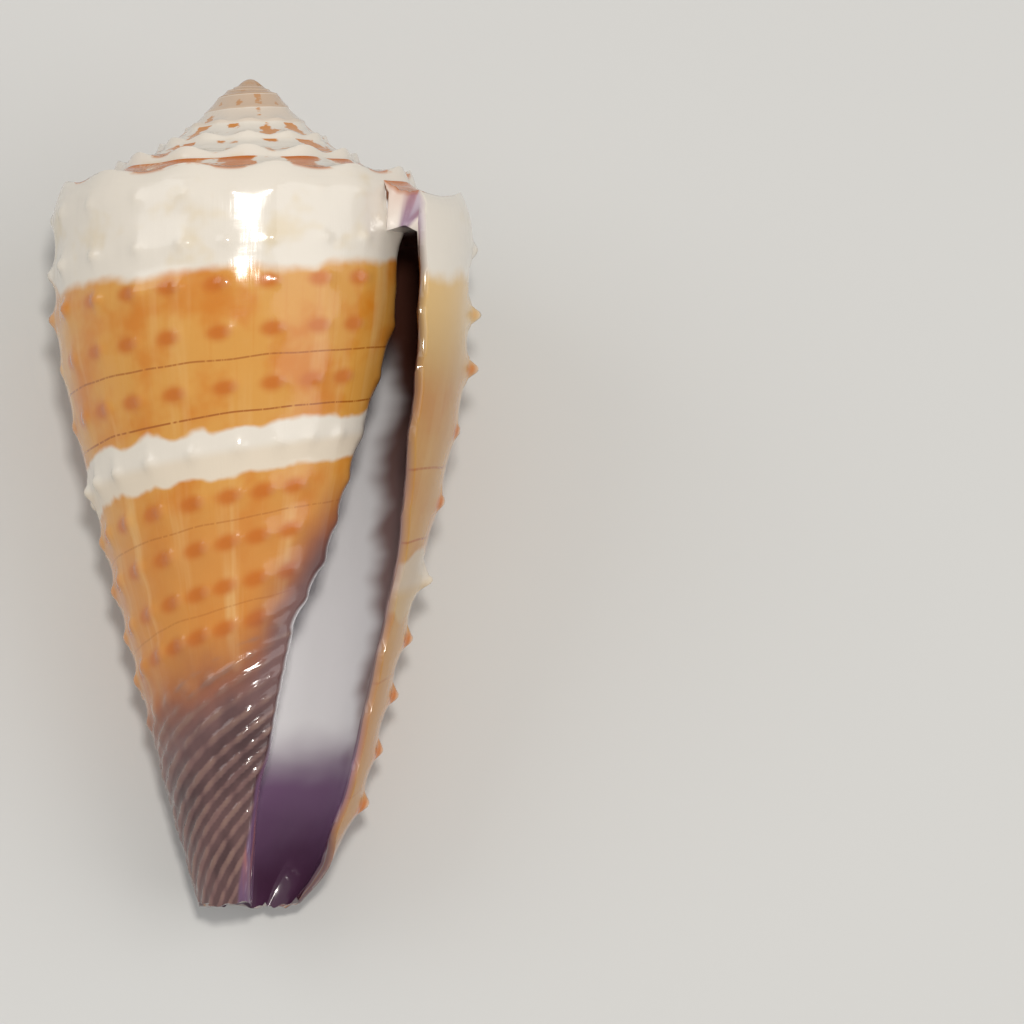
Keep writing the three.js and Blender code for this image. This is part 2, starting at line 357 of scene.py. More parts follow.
def ramp_point(turn, line):
    """The hollow ramp between the suture with the whorl before and the shoulder's crest."""
    along = line / CREST
    size = shoulder_radius(turn) / LIP_RADIUS
    inner, _ = crest_profile(turn + 1.0, 0.05 * shoulder_radius(turn + 1.0))
    outer, _ = crest_profile(turn, 0.0)
    hollow = np.sin(np.pi * along)
    thread = 0.04 * size * np.cos(2.0 * np.pi * 3.5 * along)
    growth = 0.014 * size * np.sin(2.0 * np.pi * (37.0 * turn + 1.5 * along))
    sag = (0.018 * LIP_RADIUS * size - thread - growth) * hollow
    depth = mix(suture_depth(turn + 1.0), shoulder_depth(turn), along) + sag
    return place(turn, mix(inner, outer, along), depth - knob_swell(turn) * along**3)


def crest_point(turn, depth):
    radius, rise = crest_profile(turn, depth - shoulder_depth(turn))
    return place(turn, radius, depth - rise)


def side_point(turn, depth, lift):
    """The last whorl's side and, past the edge of the aperture, the inner wall."""
    below = depth - shoulder_depth(np.minimum(turn, 1.0))
    size = shoulder_radius(turn) / LIP_RADIUS
    knob = knob_swell(turn) * (1.0 - smooth(-0.01, 0.03, turn - edge_turn(depth)))
    run_down = np.exp(-(((below - 0.43 * size) / (1.9 * size)) ** 2))
    rise = knob * np.exp(-((below / (0.3 * size)) ** 2))
    wave, corded = cord_fields(turn, depth)
    bare = side_radius(turn, depth)
    cords = CORD_HEIGHT * wave * corded * np.clip(bare / 3.0, 0.4, 1.0)
    return place(turn, bare + 0.45 * knob * run_down + lift + cords, depth - rise)


def wall_point(column, depth):
    """Inner face of the outer wall, one wall's thickness inside the sheet."""
    turn = pulled_turn(column / COLUMNS, depth)
    outer = side_radius(turn, depth)
    thick = mix(LIP_WALL, WALL, smooth(0.0, 0.25, column / COLUMNS))
    return place(turn, outer - np.minimum(thick, 0.4 * outer), depth)


def roof_point(turn, share):
    """Roof of the lumen, from the whorl before it out under the ramp to the shoulder."""
    start = line_depth(turn + 1.0, ROOF_LINE)
    inner = side_radius(turn + 1.0, start)
    outer = 0.96 * side_radius(turn, roof_depth(turn)) - WALL * smooth(-0.3, 0.2, turn)
    depth = mix(start, roof_depth(turn), share)
    return place(turn, mix(inner, outer, share), depth), depth


# ---- the closed skin ----

FIELDS = ("turns", "gauge", "depth", "ramp", "knob", "tip", "halo", "cord", "inside", "chart_u", "chart_v")


class Skin:
    """A closed mesh made of samples: places that carry what the paint needs to know there.

    Samples that are welded together become one vertex, and each face keeps its own samples' fields.
    """

    def __init__(self):
        self.places = np.empty((0, 3))
        self.fields = np.empty((0, len(FIELDS)))
        self.same_as = np.empty(0, int)
        self.faces = []

    def add(self, places, **fields):
        """Adds samples and returns their numbers, in the shape they came in."""
        shape = places.shape[:-1]
        values = [np.broadcast_to(fields.get(name, 0.0), shape).reshape(-1) for name in FIELDS]
        numbers = len(self.places) + np.arange(int(np.prod(shape)))
        self.places = np.concatenate([self.places, places.reshape(-1, 3)])
        self.fields = np.concatenate([self.fields, np.stack(values, axis=1)])
        self.same_as = np.concatenate([self.same_as, numbers])
        return numbers.reshape(shape)

    def again(self, numbers, **fields):
        """Adds samples at the same vertices, with the same fields apart from those given."""
        numbers = np.asarray(numbers)
        copies = self.add(self.places[numbers])
        self.fields[copies] = self.fields[numbers]
        for name, value in fields.items():
            self.fields[copies, FIELDS.index(name)] = value
        self.same_as[copies] = numbers
        return copies

    def weld(self, numbers, others):
        self.same_as[numbers] = others

    def roots(self):
        roots = self.same_as
        while (roots[roots] != roots).any():
            roots = roots[roots]
        return roots

    def grid(self, numbers):
        """Joins neighbouring columns of samples with quads."""
        near = numbers[:-1]
        far = numbers[1:]
        quads = np.stack([near[:, :-1], near[:, 1:], far[:, 1:], far[:, :-1]], axis=-1)
        self.faces.extend(quads.reshape(-1, 4).tolist())

    def strip(self, first, second):
        """Joins two polylines that may have different numbers of samples, keeping in step along them."""
        ends = [self.stations(first), self.stations(second)]
        i = 0
        j = 0
        while i < len(first) - 1 or j < len(second) - 1:
            if ends[0][i + 1] <= ends[1][j + 1]:
                self.faces.append([first[i], first[i + 1], second[j]])
                i += 1
            else:
                self.faces.append([first[i], second[j + 1], second[j]])
                j += 1

    def stations(self, numbers):
        """How far along a polyline each sample lies, from 0 to 1, and a last station never reached."""
        steps = np.linalg.norm(np.diff(self.places[numbers], axis=0), axis=1)
        along = np.concatenate([[0.0], np.cumsum(steps)]) / steps.sum()
        return np.append(along, np.inf)

    def fan(self, hub, loop):
        for start, end in zip(loop, np.roll(loop, -1)):
            self.faces.append([hub, start, end])

    def mesh(self, name):
        """Makes the Blender mesh. The fields become one attribute each, kept at the faces' corners."""
        roots = self.roots()
        corners = []
        for face in self.faces:
            kept = [n for i, n in enumerate(face) if roots[n] != roots[face[i - 1]]]
            if len(kept) > 2:
                corners.append(kept)
        flat = np.concatenate(corners)
        used, vertex = np.unique(roots[flat], return_inverse=True)
        ends = np.cumsum([len(face) for face in corners])
        faces = np.split(vertex, ends[:-1])
        mesh = bpy.data.meshes.new(name)
        mesh.from_pydata((self.places[used] * MM).tolist(), [], [face.tolist() for face in faces])
        for i, field in enumerate(FIELDS[:-2]):
            layer = mesh.attributes.new(field, "FLOAT", "CORNER")
            layer.data.foreach_set("value", self.fields[flat, i].astype(np.float32))
        chart = mesh.uv_layers.new(name="OFBake")
        chart.uv.foreach_set("vector", self.fields[flat, -2:].astype(np.float32).ravel())
        return mesh


class Chart:
    """A rectangle of the bake map, for one section of the skin."""

    def __init__(self, left, low, width, height):
        self.corner = (left, low)
        self.span = (width, height)

    def at(self, across, up):
        u = self.corner[0] + self.span[0] * across
        v = self.corner[1] + self.span[1] * up
        return {"chart_u": u, "chart_v": v}


SIDE_CHART = Chart(0.005, 0.36, 0.99, 0.635)
WHORL_CHARTS = [Chart(0.005, 0.285, 0.99, 0.07)]
WHORL_HEIGHTS = (0.05, 0.035, 0.025, 0.018, 0.013, 0.009, 0.007)
for height in WHORL_HEIGHTS:
    WHORL_CHARTS.append(Chart(0.005, WHORL_CHARTS[-1].corner[1] - height - 0.003, 0.99, height))
INNER_CHART = Chart(0.005, 0.005, 0.4, 0.09)
WALL_CHART = Chart(0.415, 0.005, 0.4, 0.09)
RIM_CHART = Chart(0.825, 0.005, 0.05, 0.09)
END_CHART = Chart(0.885, 0.005, 0.11, 0.09)
APEX_CHART = END_CHART.at(0.02, 0.02)


def add_upper_sheet(skin):
    """Ramps and rounded crests of all the whorls. Returns the samples by column and line."""
    column, line = np.mgrid[0 : LAST_COLUMN + 1, 0 : SUTURE + 1].astype(float)
    turn = column / COLUMNS
    on_crest = line >= CREST
    on_ramp = mix(suture_depth(turn + 1), shoulder_depth(turn), line / CREST)
    depth = np.where(on_crest, body_depth(turn, line), on_ramp)
    places = np.where(on_crest[..., None], crest_point(turn, depth), ramp_point(turn, line))
    fields = {"turns": turn, "gauge": gauge_of(np.minimum(turn, 1.0), depth), "depth": depth}
    fields.update({"ramp": line / CREST, "knob": knob_wave(turn)})
    return skin.add(places, **fields)


def add_lower_sheet(skin):
    """The last whorl's side below the suture line, and the inner wall behind the aperture."""
    column, line = np.mgrid[0 : COLUMNS + LUMEN_COLUMNS + 1, SUTURE : BASE_LINE + 1].astype(float)
    turn = column / COLUMNS
    depth = line_depth(turn, line)
    turn = pulled_turn(turn, depth)
    lift, tip, halo = grain_fields(turn, depth)
    wave, corded = cord_fields(turn, depth)
    fields = {"turns": turn, "gauge": gauge_of(turn, depth), "depth": depth, "ramp": 2.0}
    fields.update({"knob": knob_wave(turn), "tip": tip, "halo": halo, "cord": wave * corded})
    columella = 0.04 * smooth(28.0, 32.0, depth)
    fields["inside"] = smooth(-0.004, 0.028, turn - edge_turn(depth) + columella)
    return skin.add(side_point(turn, depth, lift), **fields)


def whorl_lines(whorl):
    """Lines of a whorl's ramp and crest: fewer on the small old whorls."""
    if whorl < 2:
        return np.arange(SUTURE + 1)
    if whorl < 4:
        return np.array([0, 2, 4, 6, 8, 9, CREST, 11, 13, SUTURE])
    return np.array([0, 3, 6, 9, CREST, 12, SUTURE])


def add_whorls(skin, upper):
    """Faces of the ramps and crests, each whorl in its own chart."""
    for whorl in range(SPIRE_TURNS):
        columns = np.arange(COLUMNS + 1)
        lines = np.arange(SUTURE + 1)
        across, up = np.meshgrid(columns / COLUMNS, lines / SUTURE, indexing="ij")
        block = upper[whorl * COLUMNS + columns]
        charted = skin.again(block, **WHORL_CHARTS[whorl].at(across, up))
        kept = whorl_lines(whorl)
        before = whorl_lines(max(whorl - 1, 0))
        skin.strip(charted[0, before], charted[1, kept])
        skin.grid(charted[1:, kept])


def add_side(skin, lower):
    columns = np.arange(COLUMNS + 1)
    lines = np.arange(lower.shape[1])
    across, up = np.meshgrid(columns / COLUMNS, 1.0 - lines / lines[-1], indexing="ij")
    skin.grid(skin.again(lower[columns], **SIDE_CHART.at(across, up)))


def add_inner_wall(skin, lower):
    """The whorl before, seen inside the aperture. Its lines thin out where the eye can't follow."""
    block = lower[COLUMNS:, ROOF_LINE - SUTURE :]
    across, up = np.mgrid[0 : 1 : block.shape[0] * 1j, 1 : 0 : block.shape[1] * 1j]
    charted = skin.again(block, **INNER_CHART.at(across, up))
    last = block.shape[1] - 1
    full = np.arange(last + 1)
    half = np.append(np.arange(0, last, 2), last)
    coarse = np.append(np.arange(0, last, 6), last)
    skin.strip(charted[0, full], charted[1, half])
    skin.grid(charted[1 : INNER_DENSE_COLUMNS + 1, half])
    skin.strip(charted[INNER_DENSE_COLUMNS, half], charted[INNER_DENSE_COLUMNS + 1, coarse])
    skin.grid(charted[INNER_DENSE_COLUMNS + 1 :, coarse])
    return block[-1, coarse]


def add_outer_wall_inside(skin, lower):
    """Roof of the lumen and inner face of the outer wall. Returns its samples by column and line."""
    column, share = np.meshgrid(np.arange(LUMEN_COLUMNS + 1.0), ROOF_SHARES, indexing="ij")
    roof, depth = roof_point(column / COLUMNS, share)
    roof_samples = skin.add(roof, turns=column / COLUMNS, depth=depth, ramp=share, inside=1.0)
    column, share = np.meshgrid(np.arange(LUMEN_COLUMNS + 1.0), WALL_SHARES, indexing="ij")
    turn = column / COLUMNS
    depth = mix(roof_depth(turn), base_depth(turn), share)
    fields = {"turns": pulled_turn(turn, depth), "depth": depth, "inside": 1.0}
    side_samples = skin.add(wall_point(column, depth), **fields)
    wall = np.concatenate([roof_samples, side_samples], axis=1)
    skin.weld(wall[:, 0], lower[COLUMNS:, ROOF_LINE - SUTURE])
    across, up = np.mgrid[0 : 1 : wall.shape[0] * 1j, 1 : 0 : wall.shape[1] * 1j]
    skin.grid(skin.again(wall, **WALL_CHART.at(across, up))[::-1])
    return wall


def add_lip(skin, upper, lower, wall):
    """The lip's edge, rounded over one line of samples halfway through the wall."""
    outside = np.concatenate([upper[0], lower[0, 1:]])
    inside = np.concatenate([lower[COLUMNS, : ROOF_LINE - SUTURE], wall[0]])
    up = np.linspace(1.0, 0.0, len(outside))
    outside = skin.again(outside, inside=0.35, **RIM_CHART.at(0.0, up))
    inside = skin.again(inside, inside=0.8, **RIM_CHART.at(1.0, np.linspace(1.0, 0.0, len(inside))))
    on_side = smooth(CREST, SUTURE, np.arange(len(outside)))
    places = skin.places[outside]
    radius = np.hypot(places[:, 0], places[:, 1])
    forward = np.stack([places[:, 1], -places[:, 0], 0.0 * radius], axis=1) / radius[:, None]
    inward = -places * [1.0, 1.0, 0.0] / radius[:, None]
    down = np.array([0.0, 0.0, -1.0])
    into_wall = 0.5 * LIP_WALL * (on_side[:, None] * inward + (1.0 - on_side[:, None]) * down)
    ends = np.sin(np.pi * np.clip(np.arange(len(outside)) / 6.0, 0.0, 0.5))
    ends *= ends[::-1]
    rim = skin.again(outside, inside=0.6, **RIM_CHART.at(0.5, up))
    skin.places[rim] = places + ends[:, None] * (into_wall + LIP_ROUND * forward)
    skin.same_as[rim[1:-1]] = rim[1:-1]
    root = ROOF_LINE - SUTURE
    shoulder = root + len(ROOF_SHARES)
    skin.strip(inside[: root + 1], rim[: ROOT_LINES + 1])
    skin.strip(inside[root : shoulder + 1], rim[ROOT_LINES : SUTURE + 1])
    skin.strip(inside[shoulder:], rim[SUTURE:])
    skin.grid(np.stack([rim, outside]))


def add_lumen_end(skin, inner_end, wall):
    end = {"inside": 1.0, "chart_u": RIM_CHART.corner[0], "chart_v": RIM_CHART.corner[1]}
    skin.strip(skin.again(inner_end, **end), skin.again(wall[-1], **end))


def add_base_end(skin, lower, wall):
    """The cut end of the base: the rim of the outer wall, then the solid end of the columella."""
    inside = wall[:, -1]
    outside = lower[: LUMEN_COLUMNS + 1, -1]
    core = lower[LUMEN_COLUMNS : LUMEN_COLUMNS + COLUMNS + 1, -1][::-1]

    def charted(numbers, **fields):
        places = skin.places[numbers] / (2.0 * LIP_RADIUS)
        return skin.again(numbers, **END_CHART.at(0.5 + places[..., 0], 0.5 + places[..., 1]), **fields)

    skin.strip(charted(inside, inside=0.7), charted(outside, inside=0.4))
    hub = skin.add(place(LUMEN_TURNS + 0.25, 0.25, LENGTH - 0.45), turns=1.0, depth=LENGTH, inside=0.5)
    loop = np.append(charted(core, inside=0.5), charted(inside[-1:], inside=0.5))
    skin.fan(int(charted(hub)), loop)


def add_apex(skin, upper):
    """A little dome on the last ring of the spire."""
    ring = upper[-COLUMNS - 1 :, 0]
    step = upper[-1, whorl_lines(SPIRE_TURNS - 1)[1:-1]]
    loop = skin.again(np.concatenate([ring, step]), ramp=0.5, **APEX_CHART)
    outline = skin.places[loop]
    fields = {"turns": float(SPIRE_TURNS), "ramp": 0.5, **APEX_CHART}
    for share in (0.8, 0.55, 0.28):
        inner = skin.add(outline * [share, share, share**1.7], **fields)
        skin.grid(np.stack([np.append(loop, loop[0]), np.append(inner, inner[0])]))
        loop = inner
    hub = skin.add(np.zeros(3), **fields)
    skin.fan(int(hub), loop)


def make_skin():
    skin = Skin()
    upper = add_upper_sheet(skin)
    lower = add_lower_sheet(skin)
    skin.weld(upper[:-COLUMNS, 0], upper[COLUMNS:, SUTURE])
    skin.weld(lower[:, 0], upper[: len(lower), SUTURE])
    add_whorls(skin, upper)
    add_side(skin, lower)
    inner_end = add_inner_wall(skin, lower)
    wall = add_outer_wall_inside(skin, lower)
    add_lip(skin, upper, lower, wall)
    add_lumen_end(skin, inner_end, wall)
    add_base_end(skin, lower, wall)
    add_apex(skin, upper)
    return skin


# ---- the paint ----

# The Mix node's sockets for colours
COLOUR_A = 6
COLOUR_B = 7
COLOUR_RESULT = 2

BLACK = (0.0, 0.0, 0.0)
# The outside's colours are dimmed to this share, so that the inside is painted lighter relative to it:
# painted light in the aperture.
OUTSIDE_SHARE = 0.8
WHITE = (0.88, 0.81, 0.71)
IVORY = (0.82, 0.68, 0.46)
CREAM = (0.8, 0.52, 0.2)
ORANGE = (0.76, 0.36, 0.07)
DEEP_ORANGE = (0.7, 0.235, 0.02)
TAN = (0.7, 0.27, 0.05)
PALE_STREAK = (0.9, 0.6, 0.26)
RUST = (0.62, 0.16, 0.008)
DASH = (0.4, 0.11, 0.01)
RED_VIOLET = (0.3, 0.085, 0.055)
PURPLE = (0.22, 0.115, 0.11)
DARK_PURPLE = (0.075, 0.034, 0.036)
WORN = (0.3, 0.18, 0.14)
PEACH = (0.56, 0.34, 0.19)
PEARL = (0.87, 0.72, 0.53)
# Painted lighter than the inside's own lilac white: painted light in the aperture.
LILAC_WHITE_PAINTED_LIGHTER = (0.95, 0.94, 0.96)
CALLUS = (0.84, 0.78, 0.72)
CHESTNUT = (0.085, 0.03, 0.02)
MAUVE = (0.3, 0.2, 0.3)
VIOLET = (0.2, 0.11, 0.21)
DEEP_VIOLET = (0.06, 0.022, 0.05)
# Orange of a painted warm reflection on the columella
WARM_REFLECTION = (0.6, 0.2, 0.07)
LIP_TAN = (0.4, 0.22, 0.06)
BROWN_MAUVE = (0.27, 0.17, 0.16)

# Gauges where the markings of the side begin and end
WHITE_SHOULDER_END = 7.7
OLDER_WHITE_EXTRA = 2.75
WHITE_BAND = (18.2, 20.45)
# Gauge and strength of each broken line
BROKEN_LINES = ((14.9, 0.75), (17.6, 0.9), (22.75, 0.4), (26.9, 0.3))


class Paint:
    """Short ways to write a shader's node expressions. A value is a number, a colour or a node's output."""

    def __init__(self, material):
        material.use_nodes = True
        self.tree = material.node_tree
        self.shader = self.tree.nodes["Principled BSDF"]
        self.known = {}

    def node(self, kind, inputs=(), **settings):
        node = self.tree.nodes.new(kind)
        for name, value in settings.items():
            setattr(node, name, value)
        for socket, value in zip(node.inputs, inputs):
            self.feed(socket, value)
        return node

    def feed(self, socket, value):
        if isinstance(value, bpy.types.NodeSocket):
            self.tree.links.new(value, socket)
        elif value is not None:
            is_colour = isinstance(value, tuple) and socket.type == "RGBA"
            socket.default_value = (*value, 1.0) if is_colour else value

    def field(self, name):
        """One of the skin's FIELDS."""
        if name not in self.known:
            self.known[name] = self.node("ShaderNodeAttribute", attribute_name=name).outputs["Fac"]
        return self.known[name]

    def math(self, operation, *values):
        return self.node("ShaderNodeMath", values, operation=operation).outputs[0]

    def plus(self, *values):
        total = values[0]
        for value in values[1:]:
            total = self.math("ADD", total, value)
        return total

    def times(self, *values):
        total = values[0]
        for value in values[1:]:
            total = self.math("MULTIPLY", total, value)
        return total

    def minus(self, first, second):
        return self.math("SUBTRACT", first, second)

    def smooth(self, low, high, value):
        """0 below low, 1 above high; the other way round when low is the larger."""
        inputs = (value, low, high, 0.0, 1.0)
        node = self.node("ShaderNodeMapRange", inputs, interpolation_type="SMOOTHSTEP")
        return node.outputs["Result"]

    def band(self, low, high, edge, value):
        """1 between low and high, with soft edges."""
        rising = self.smooth(low - edge, low + edge, value)
        return self.times(rising, self.smooth(high + edge, high - edge, value))

    def mix(self, first, second, share):
        node = self.node("ShaderNodeMix", data_type="RGBA")
        self.feed(node.inputs["Factor"], share)
        self.feed(node.inputs[COLOUR_A], first)
        self.feed(node.inputs[COLOUR_B], second)
        return node.outputs[COLOUR_RESULT]

    def noise(self, x, y, detail, roughness, seed):
        """Smooth noise, about 0 to 1 round 0.5, with features about one unit of x and y across."""
        place = self.node("ShaderNodeCombineXYZ", (x, y, seed)).outputs[0]
        inputs = (place, None, 1.0, detail, roughness)
        return self.node("ShaderNodeTexNoise", inputs, noise_dimensions="3D").outputs["Fac"]

    def pattern(self, per_turn, per_mm, detail, roughness, seed, across="gauge"):
        """Noise laid on the sheet: its features per turn, and per millimetre of the field across the coil."""
        x = self.times(self.field("turns"), per_turn)
        y = self.times(self.field(across), per_mm)
        return self.noise(x, y, detail, roughness, seed)


def body_colour(paint):
    """The last whorl's side: bands that follow the rows of grains, with axial streaks of growth."""
    turns = paint.field("turns")
    gauge = paint.field("gauge")
    streak = paint.pattern(30.0, 0.06, 3.0, 0.6, 3.0)
    fine_streak = paint.pattern(170.0, 0.12, 2.0, 0.5, 7.0)
    cloud = paint.pattern(16.8, 0.3, 3.0, 0.55, 11.0)
    patch = paint.pattern(17.0, 0.12, 1.0, 0.4, 17.0)
    stepped = paint.minus(paint.smooth(0.4, 0.6, patch), 0.5)
    ragged = paint.plus(gauge, paint.times(stepped, 0.3), paint.times(paint.minus(cloud, 0.5), 1.3))

    colour = paint.mix(ORANGE, DEEP_ORANGE, paint.smooth(0.42, 0.68, cloud))
    colour = paint.mix(colour, TAN, paint.times(paint.smooth(20.0, 24.0, gauge), 0.75))
    colour = paint.mix(colour, PALE_STREAK, paint.times(paint.smooth(0.5, 0.78, streak), 0.55))
    colour = paint.mix(colour, DEEP_ORANGE, paint.times(paint.smooth(0.55, 0.8, fine_streak), 0.3))

    older = paint.smooth(0.52, 0.66, turns)
    cream = paint.times(paint.smooth(12.6, 9.6, ragged), paint.minus(1.0, paint.times(older, 0.9)))
    colour = paint.mix(colour, CREAM, cream)
    white_end = paint.plus(WHITE_SHOULDER_END, paint.times(older, OLDER_WHITE_EXTRA))
    past_white = paint.minus(ragged, white_end)
    colour = paint.mix(colour, WHITE, paint.smooth(0.32, -0.32, past_white))
    ivory = paint.times(paint.smooth(0.52, 0.7, cloud), paint.smooth(0.0, -0.6, past_white))
    colour = paint.mix(colour, IVORY, paint.times(ivory, 0.7))

    band = paint.band(*WHITE_BAND, 0.16, ragged)
    lower_half = paint.times(paint.smooth(19.1, 19.7, gauge), paint.minus(1.0, paint.times(older, 0.7)))
    colour = paint.mix(colour, paint.mix(WHITE, CREAM, paint.times(lower_half, 0.75)), band)

    halo = paint.field("halo")
    in_white = paint.plus(paint.smooth(0.3, -0.3, past_white), band)
    rust = paint.times(halo, paint.minus(1.0, paint.times(in_white, 0.85)), paint.smooth(31.0, 28.0, gauge))
    rust = paint.times(rust, paint.minus(1.0, paint.times(cream, 0.5)))
    near_lip = paint.times(paint.smooth(0.12, 0.05, turns), paint.smooth(7.5, 12.0, gauge), 0.6)
    colour = paint.mix(colour, LIP_TAN, near_lip)
    colour = paint.mix(colour, RUST, paint.times(paint.smooth(0.25, 0.95, rust), 0.9))
    return dashed(paint, colour, gauge, turns)


def dashed(paint, colour, gauge, turns):
    """Thin broken spiral lines between some of the rows."""
    for level, strength in BROKEN_LINES:
        breaks = paint.noise(paint.times(turns, 230.0), level, 2.0, 0.6, 23.0)
        wander = paint.noise(paint.times(turns, 14.0), level, 1.0, 0.5, 29.0)
        distance = paint.minus(paint.plus(gauge, paint.times(paint.minus(wander, 0.5), 0.35)), level)
        line = paint.smooth(0.075, 0.015, paint.math("ABSOLUTE", distance))
        colour = paint.mix(colour, DASH, paint.times(line, paint.smooth(0.3, 0.5, breaks), strength))
    return colour


def base_colour(paint, colour):
    """Purple-brown cords at the base, with painted shade in the grooves between them, worn pale crests and a
    reddish flush by the aperture.
    """
    turns = paint.field("turns")
    gauge = paint.field("gauge")
    cloud = paint.pattern(9.0, 0.25, 3.0, 0.55, 31.0)
    raised = paint.times(paint.smooth(0.83, 0.99, turns), 6.5)
    level = paint.plus(gauge, raised, paint.times(paint.minus(cloud, 0.5), 3.0))
    colour = paint.mix(colour, RED_VIOLET, paint.times(paint.smooth(27.0, 31.0, level), 0.8))
    # Painted shade: the grooves between the cords are painted towards dark purple.
    groove_shade = paint.times(paint.smooth(0.5, 0.05, paint.field("cord")), paint.smooth(31.0, 34.0, gauge))
    dark = paint.plus(paint.times(groove_shade, 0.55), paint.times(paint.smooth(0.4, 0.65, cloud), 0.45))
    purple = paint.mix(PURPLE, DARK_PURPLE, dark)
    colour = paint.mix(colour, purple, paint.smooth(29.3, 32.4, level))
    wear = paint.pattern(16.0, 0.5, 3.0, 0.6, 37.0)
    crest = paint.times(paint.smooth(0.15, 0.9, paint.field("cord")), paint.smooth(0.3, 0.6, wear))
    return paint.mix(colour, WORN, paint.times(crest, 0.7))


def spire_colour(paint):
    """White ramps with rust blotches between the knobs, darkest at the suture, and a peach apex."""
    turns = paint.field("turns")
    ramp = paint.field("ramp")
    blotch = paint.pattern(13.0, 1.1, 4.0, 0.6, 41.0, across="ramp")
    valley = paint.minus(1.0, paint.field("knob"))
    amount = paint.plus(blotch, paint.times(paint.minus(valley, 0.5), 0.2))
    amount = paint.minus(amount, paint.times(paint.smooth(0.75, 1.15, ramp), 0.14))
    young = paint.times(paint.smooth(1.9, 0.9, turns), 0.1)
    old = paint.times(paint.smooth(2.0, 4.0, turns), 0.1)
    amount = paint.minus(paint.plus(amount, young), old)
    rust = paint.mix(RUST, DEEP_ORANGE, paint.smooth(0.62, 0.5, amount))
    rust = paint.mix(rust, TAN, paint.smooth(1.2, 2.4, turns))
    blotched = paint.times(paint.smooth(0.5, 0.56, amount), paint.smooth(1.2, 0.95, ramp))
    colour = paint.mix(WHITE, rust, blotched)
    early = paint.smooth(2.6, 6.0, turns)
    return paint.mix(colour, PEACH, paint.times(early, 0.9))


def aperture_colour(paint):
    """Inside: lilac white painted lighter than its own tone as painted light, a dark band inside the lip,
    mauve under the shoulder and violet at the base.
    """
    turns = paint.field("turns")
    depth = paint.field("depth")
    wander = paint.pattern(6.0, 0.45, 2.0, 0.5, 53.0, across="depth")
    off = paint.minus(wander, 0.5)
    band_end = paint.plus(paint.times(paint.smooth(26.0, 13.0, depth), 0.075), 0.13, paint.times(off, 0.08))
    past_band = paint.minus(turns, band_end)
    band = paint.mix(CHESTNUT, BROWN_MAUVE, paint.smooth(10.0, 18.0, depth))
    colour = paint.mix(band, LILAC_WHITE_PAINTED_LIGHTER, paint.smooth(-0.02, 0.03, past_band))
    top = paint.smooth(11.4, 9.6, paint.plus(depth, paint.times(off, 2.0)))
    colour = paint.mix(colour, CHESTNUT, paint.times(top, paint.smooth(0.6, 0.4, turns)))
    by_lip = paint.mix(CALLUS, MAUVE, paint.smooth(0.5, 0.85, paint.field("ramp")))
    under_shoulder = paint.times(paint.smooth(7.4, 5.9, depth), paint.smooth(0.16, 0.05, turns))
    colour = paint.mix(colour, by_lip, under_shoulder)
    level = paint.plus(depth, paint.times(off, 1.4), paint.times(paint.smooth(0.0, 0.25, turns), -0.6))
    colour = paint.mix(colour, VIOLET, paint.smooth(24.0, 26.8, level))
    return paint.mix(colour, DEEP_VIOLET, paint.smooth(26.4, 30.5, level))


def parietal_colour(paint):
    """The inner lip's wall: callus white above, lilac white painted lighter as painted light, then the violet
    of the columella below with a painted orange reflection.
    """
    depth = paint.field("depth")
    cloud = paint.pattern(30.0, 0.25, 2.0, 0.5, 59.0, across="depth")
    colour = paint.mix(CALLUS, LILAC_WHITE_PAINTED_LIGHTER, paint.smooth(8.0, 12.0, depth))
    colour = paint.mix(colour, VIOLET, paint.smooth(24.8, 26.8, depth))
    colour = paint.mix(colour, DEEP_VIOLET, paint.times(paint.smooth(27.0, 31.0, depth), 0.5))
    # Painted reflection: cloudy orange streaks of warm light on the columella's violet.
    painted_reflection = paint.times(paint.smooth(0.5, 0.7, cloud), paint.band(26.5, 30.5, 1.5, depth))
    return paint.mix(colour, WARM_REFLECTION, paint.times(painted_reflection, 0.5))


BUMP_STRENGTH = 0.5
BUMP_DISTANCE = 0.02 * MM
LEAST_ROUGHNESS = 0.15
COAT_WEIGHT = 0.3
COAT_ROUGHNESS = 0.08


